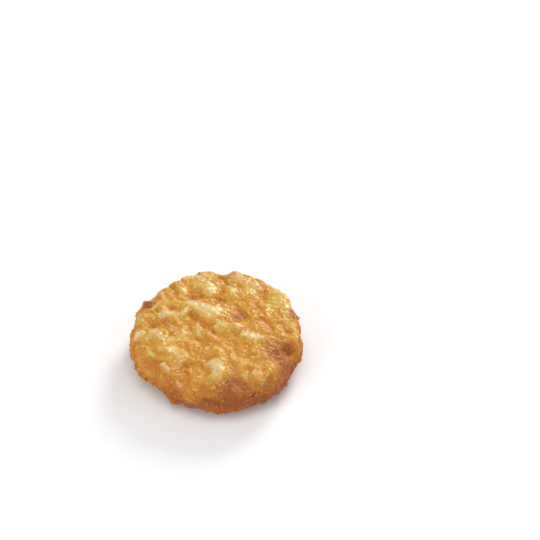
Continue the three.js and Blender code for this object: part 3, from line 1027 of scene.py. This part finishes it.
def toast_and_shade_of(points):
    """How toasted each point is, from 0 to 1, with painted shade low on the wall and towards the near right.
    """
    where = points / MM
    rest = np.ones(len(where))
    for x, y, z, reach, strength in TOAST_SPOTS:
        away = np.linalg.norm(where - (x, y, z), axis=1) / reach
        rest *= 1 - strength * (1 - smooth_step(away, *SPOT_FADES))
    wall = 1 - smooth_step(where[:, 2], *WALL_TOAST_AND_SHADE_FADES)
    beneath = (1 - smooth_step(where[:, 2], *UNDERSIDE_ENDS)) * (1 - near_rim(where))
    wall *= 1 - UNDERSIDE_SPARED * beneath
    darker_side = 0.5 + 0.5 * np.cos(np.arctan2(where[:, 1], where[:, 0]) - WALL_DARKEST)
    least, most = WALL_TOAST_AND_SHADE
    rest *= 1 - wall * (least + (most - least) * darker_side)
    lumps = sum(lump_shape(where, *place) for *place, _ in SIDE_LUMPS)
    return (1 - rest) * (1 - LUMPS_SPARED * np.clip(lumps, 0, 1))


toast_and_shade = toast_and_shade_of(positions(cake.data))
store(cake.data, "toast_and_shade", toast_and_shade)
print("toasted on average:", round(float(toast_and_shade.mean()), 2))

# %% [markdown]
# ## What the crust is mixed from
# The colours and the shine of fried potato follow the same few things: how high and how plump a place is,
# how toasted, and how the noise falls there. So those are fetched once, by name: the stored attributes, a
# few noises and one layer of blisters. Each later value is then a weighted sum of them, and its table of
# weights can be read like a recipe.

# %% Ingredients
CRUST_ATTRIBUTES = ("raised", "wall", "near_relief", "plump", "toast_and_shade", "tone", "painted_highlight")
CRUST_NOISES = {"patches": 4.0 * MM, "specks": 0.9 * MM, "dust": 0.5 * MM, "fuzz": 0.35 * MM}
CRUST_GRAINS = 0.6 * MM


def ingredients(tree):
    """All that the crust's values are mixed from, by name."""
    where = out(add(tree, "ShaderNodeTexCoord"), "Object")
    found = {}
    for name in CRUST_ATTRIBUTES:
        found[name] = out(add(tree, "ShaderNodeAttribute", attribute_name=name), "Fac")
    for name, size in CRUST_NOISES.items():
        found[name] = noise(tree, where, size)
    found["grains"] = blisters(tree, where, CRUST_GRAINS)
    return found


def weighted_sum(tree, found, weights, start=0.0):
    total = start
    for name, weight in weights.items():
        total = math_node(tree, "MULTIPLY_ADD", found[name], weight, total)
    return total


# %% [markdown]
# ## The colour of the crust
# Fried potato is orange-brown in the hollows and gold where it is plump. The hollows, crevices and wall are
# darker and what stands high is lighter, partly from browning and partly as painted shade and light. Over
# that lie a cream on the tips of crumbs and the backs of shreds, which is partly painted highlight and partly
# pale tone at random, and the reddish brown of the toasted places, which is browning on the listed spots,
# painted shade in the crevices and partly painted shade low on the wall. Each is mixed in by its own sum, and
# the noises in every sum break its border, since no browning ends in a clean line.

# %% Colour
# what the crust's colour is, from deep in a hollow, darkened as painted shade, to the back of a plump shred
BROWNING_AND_SHADE = [
    (0.0, (0.52, 0.19, 0.015, 1)),
    (0.35, (0.55, 0.24, 0.02, 1)),
    (0.7, (0.585, 0.318, 0.045, 1)),
    (1.0, (0.65, 0.45, 0.125, 1)),
]
# gold rises with height above the body and above the near surroundings, which lightens tips and darkens
# crevices as painted light and shade; the wall is darker, partly as painted shade
GOLD_AND_SHADE_START = -0.06
GOLD_AND_SHADE_BY = {
    "raised": 0.63,
    "wall": -0.4,
    "near_relief": 0.7,
    "plump": 0.3,
    "tone": 0.08,
    "patches": 0.7,
    "specks": 0.15,
    "grains": 0.1,
}
# the cream is a painted highlight on the crests and far sides of shreds and on the tips of crumbs, broken by
# noise into pale specks
HIGHLIGHT_CREAM = (0.76, 0.63, 0.39, 1)
HIGHLIGHT_CREAM_BY = {"painted_highlight": 0.95, "near_relief": 1.1, "specks": 0.6, "dust": 1.1, "grains": 0.3, "patches": 0.6}
HIGHLIGHT_CREAM_BEGINS = (0.45, 1.25)
MOST_HIGHLIGHT_CREAM = 0.66
# the reddish brown is browning on the toasted spots, painted shade in the crevices and partly painted shade
# low on the wall
TOAST_AND_SHADE_RED = (0.29, 0.068, 0.024, 1)
RED_AND_SHADE_BY = {"toast_and_shade": 1.0, "near_relief": -0.7, "specks": 1.2, "patches": 0.6}
RED_BEGINS = (0.1, 1.0)
MOST_RED = 0.9


def mix(tree, share, first, second):
    return out(add(tree, "ShaderNodeMix", {"Factor": share, "A": first, "B": second}, data_type="RGBA"))


def crust_colour(tree, found):
    """Gold and brown with painted light and shade in them, painted highlight cream over them and red over
    all.
    """
    gold = weighted_sum(tree, found, GOLD_AND_SHADE_BY, GOLD_AND_SHADE_START)
    browning_and_shade = add(tree, "ShaderNodeValToRGB", {"Fac": gold})
    stops = browning_and_shade.color_ramp.elements
    for index, (place, tint) in enumerate(BROWNING_AND_SHADE):
        stop = stops[index] if index < len(stops) else stops.new(place)
        stop.position = place
        stop.color = tint
    highlight_cream = ramp(tree, weighted_sum(tree, found, HIGHLIGHT_CREAM_BY), *HIGHLIGHT_CREAM_BEGINS, 0.0, MOST_HIGHLIGHT_CREAM)
    red = ramp(tree, weighted_sum(tree, found, RED_AND_SHADE_BY), *RED_BEGINS, 0.0, MOST_RED)
    return mix(tree, red, mix(tree, highlight_cream, out(browning_and_shade, "Color"), HIGHLIGHT_CREAM), TOAST_AND_SHADE_RED)


# %% [markdown]
# ## The shine of the crust
# Oil makes the backs of the shreds glisten, where the highlight is also painted pale, while the wall and the
# toasted places are drier. Light also goes a little way into potato and comes out warm, which subsurface
# scattering does. A fine bump gives the glints a grain that is smaller than the mesh can hold. What is the
# same all over the crust is typed into the shader's own sockets.

# %% Shine
ROUGHNESS_START = 0.32
ROUGHNESS_BY = {"specks": 0.3, "wall": 0.25, "toast_and_shade": 0.2, "painted_highlight": -0.26}
BUMP_BY = {"grains": 0.6, "specks": 1.0, "fuzz": 0.9}
BUMP_HEIGHT = 0.08 * MM
SAME_ALL_OVER = {
    "Specular IOR Level": 0.43,
    "Specular Tint": (1.0, 0.93, 0.72, 1),
    "Subsurface Weight": 0.8,
    "Subsurface Radius": (1.0, 0.55, 0.2),
    "Subsurface Scale": 0.8 * MM,
}

crust.use_nodes = True
crust_nodes = crust.node_tree
crust_surface = crust_nodes.nodes["Principled BSDF"]
found = ingredients(crust_nodes)
bump = {"Height": weighted_sum(crust_nodes, found, BUMP_BY), "Strength": 1.0, "Distance": BUMP_HEIGHT}
varied = {
    "Base Color": crust_colour(crust_nodes, found),
    "Roughness": weighted_sum(crust_nodes, found, ROUGHNESS_BY, ROUGHNESS_START),
    "Normal": out(add(crust_nodes, "ShaderNodeBump", bump)),
}
for name, value in (varied | SAME_ALL_OVER).items():
    feed(crust_nodes, crust_surface.inputs[name], value)
print("nodes of the crust:", len(crust_nodes.nodes))

# %% [markdown]
# ## One piece
# The crust is one mesh with one material. It rides on the cake's only body and stands in for the frame's
# plain solid, which is hidden.

# %% Placing it in the frame
cake.data.materials.clear()
cake.data.materials.append(crust)
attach(cake, "root")
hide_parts("rosti")
print("triangles:", sum(len(face.vertices) - 2 for face in cake.data.polygons))

# %% [markdown]
# ## Measuring up
# The finished crust may not outgrow the frame, so both boxes are written down and compared.

# %% Sizes
visual_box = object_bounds()
visual_low, visual_high = (Vector(corner) for corner in visual_box)
past_frame = (*(cad_low - visual_low), *(visual_high - cad_high))
print("past the frame's box, mm:", [round(distance / MM, 2) for distance in past_frame])
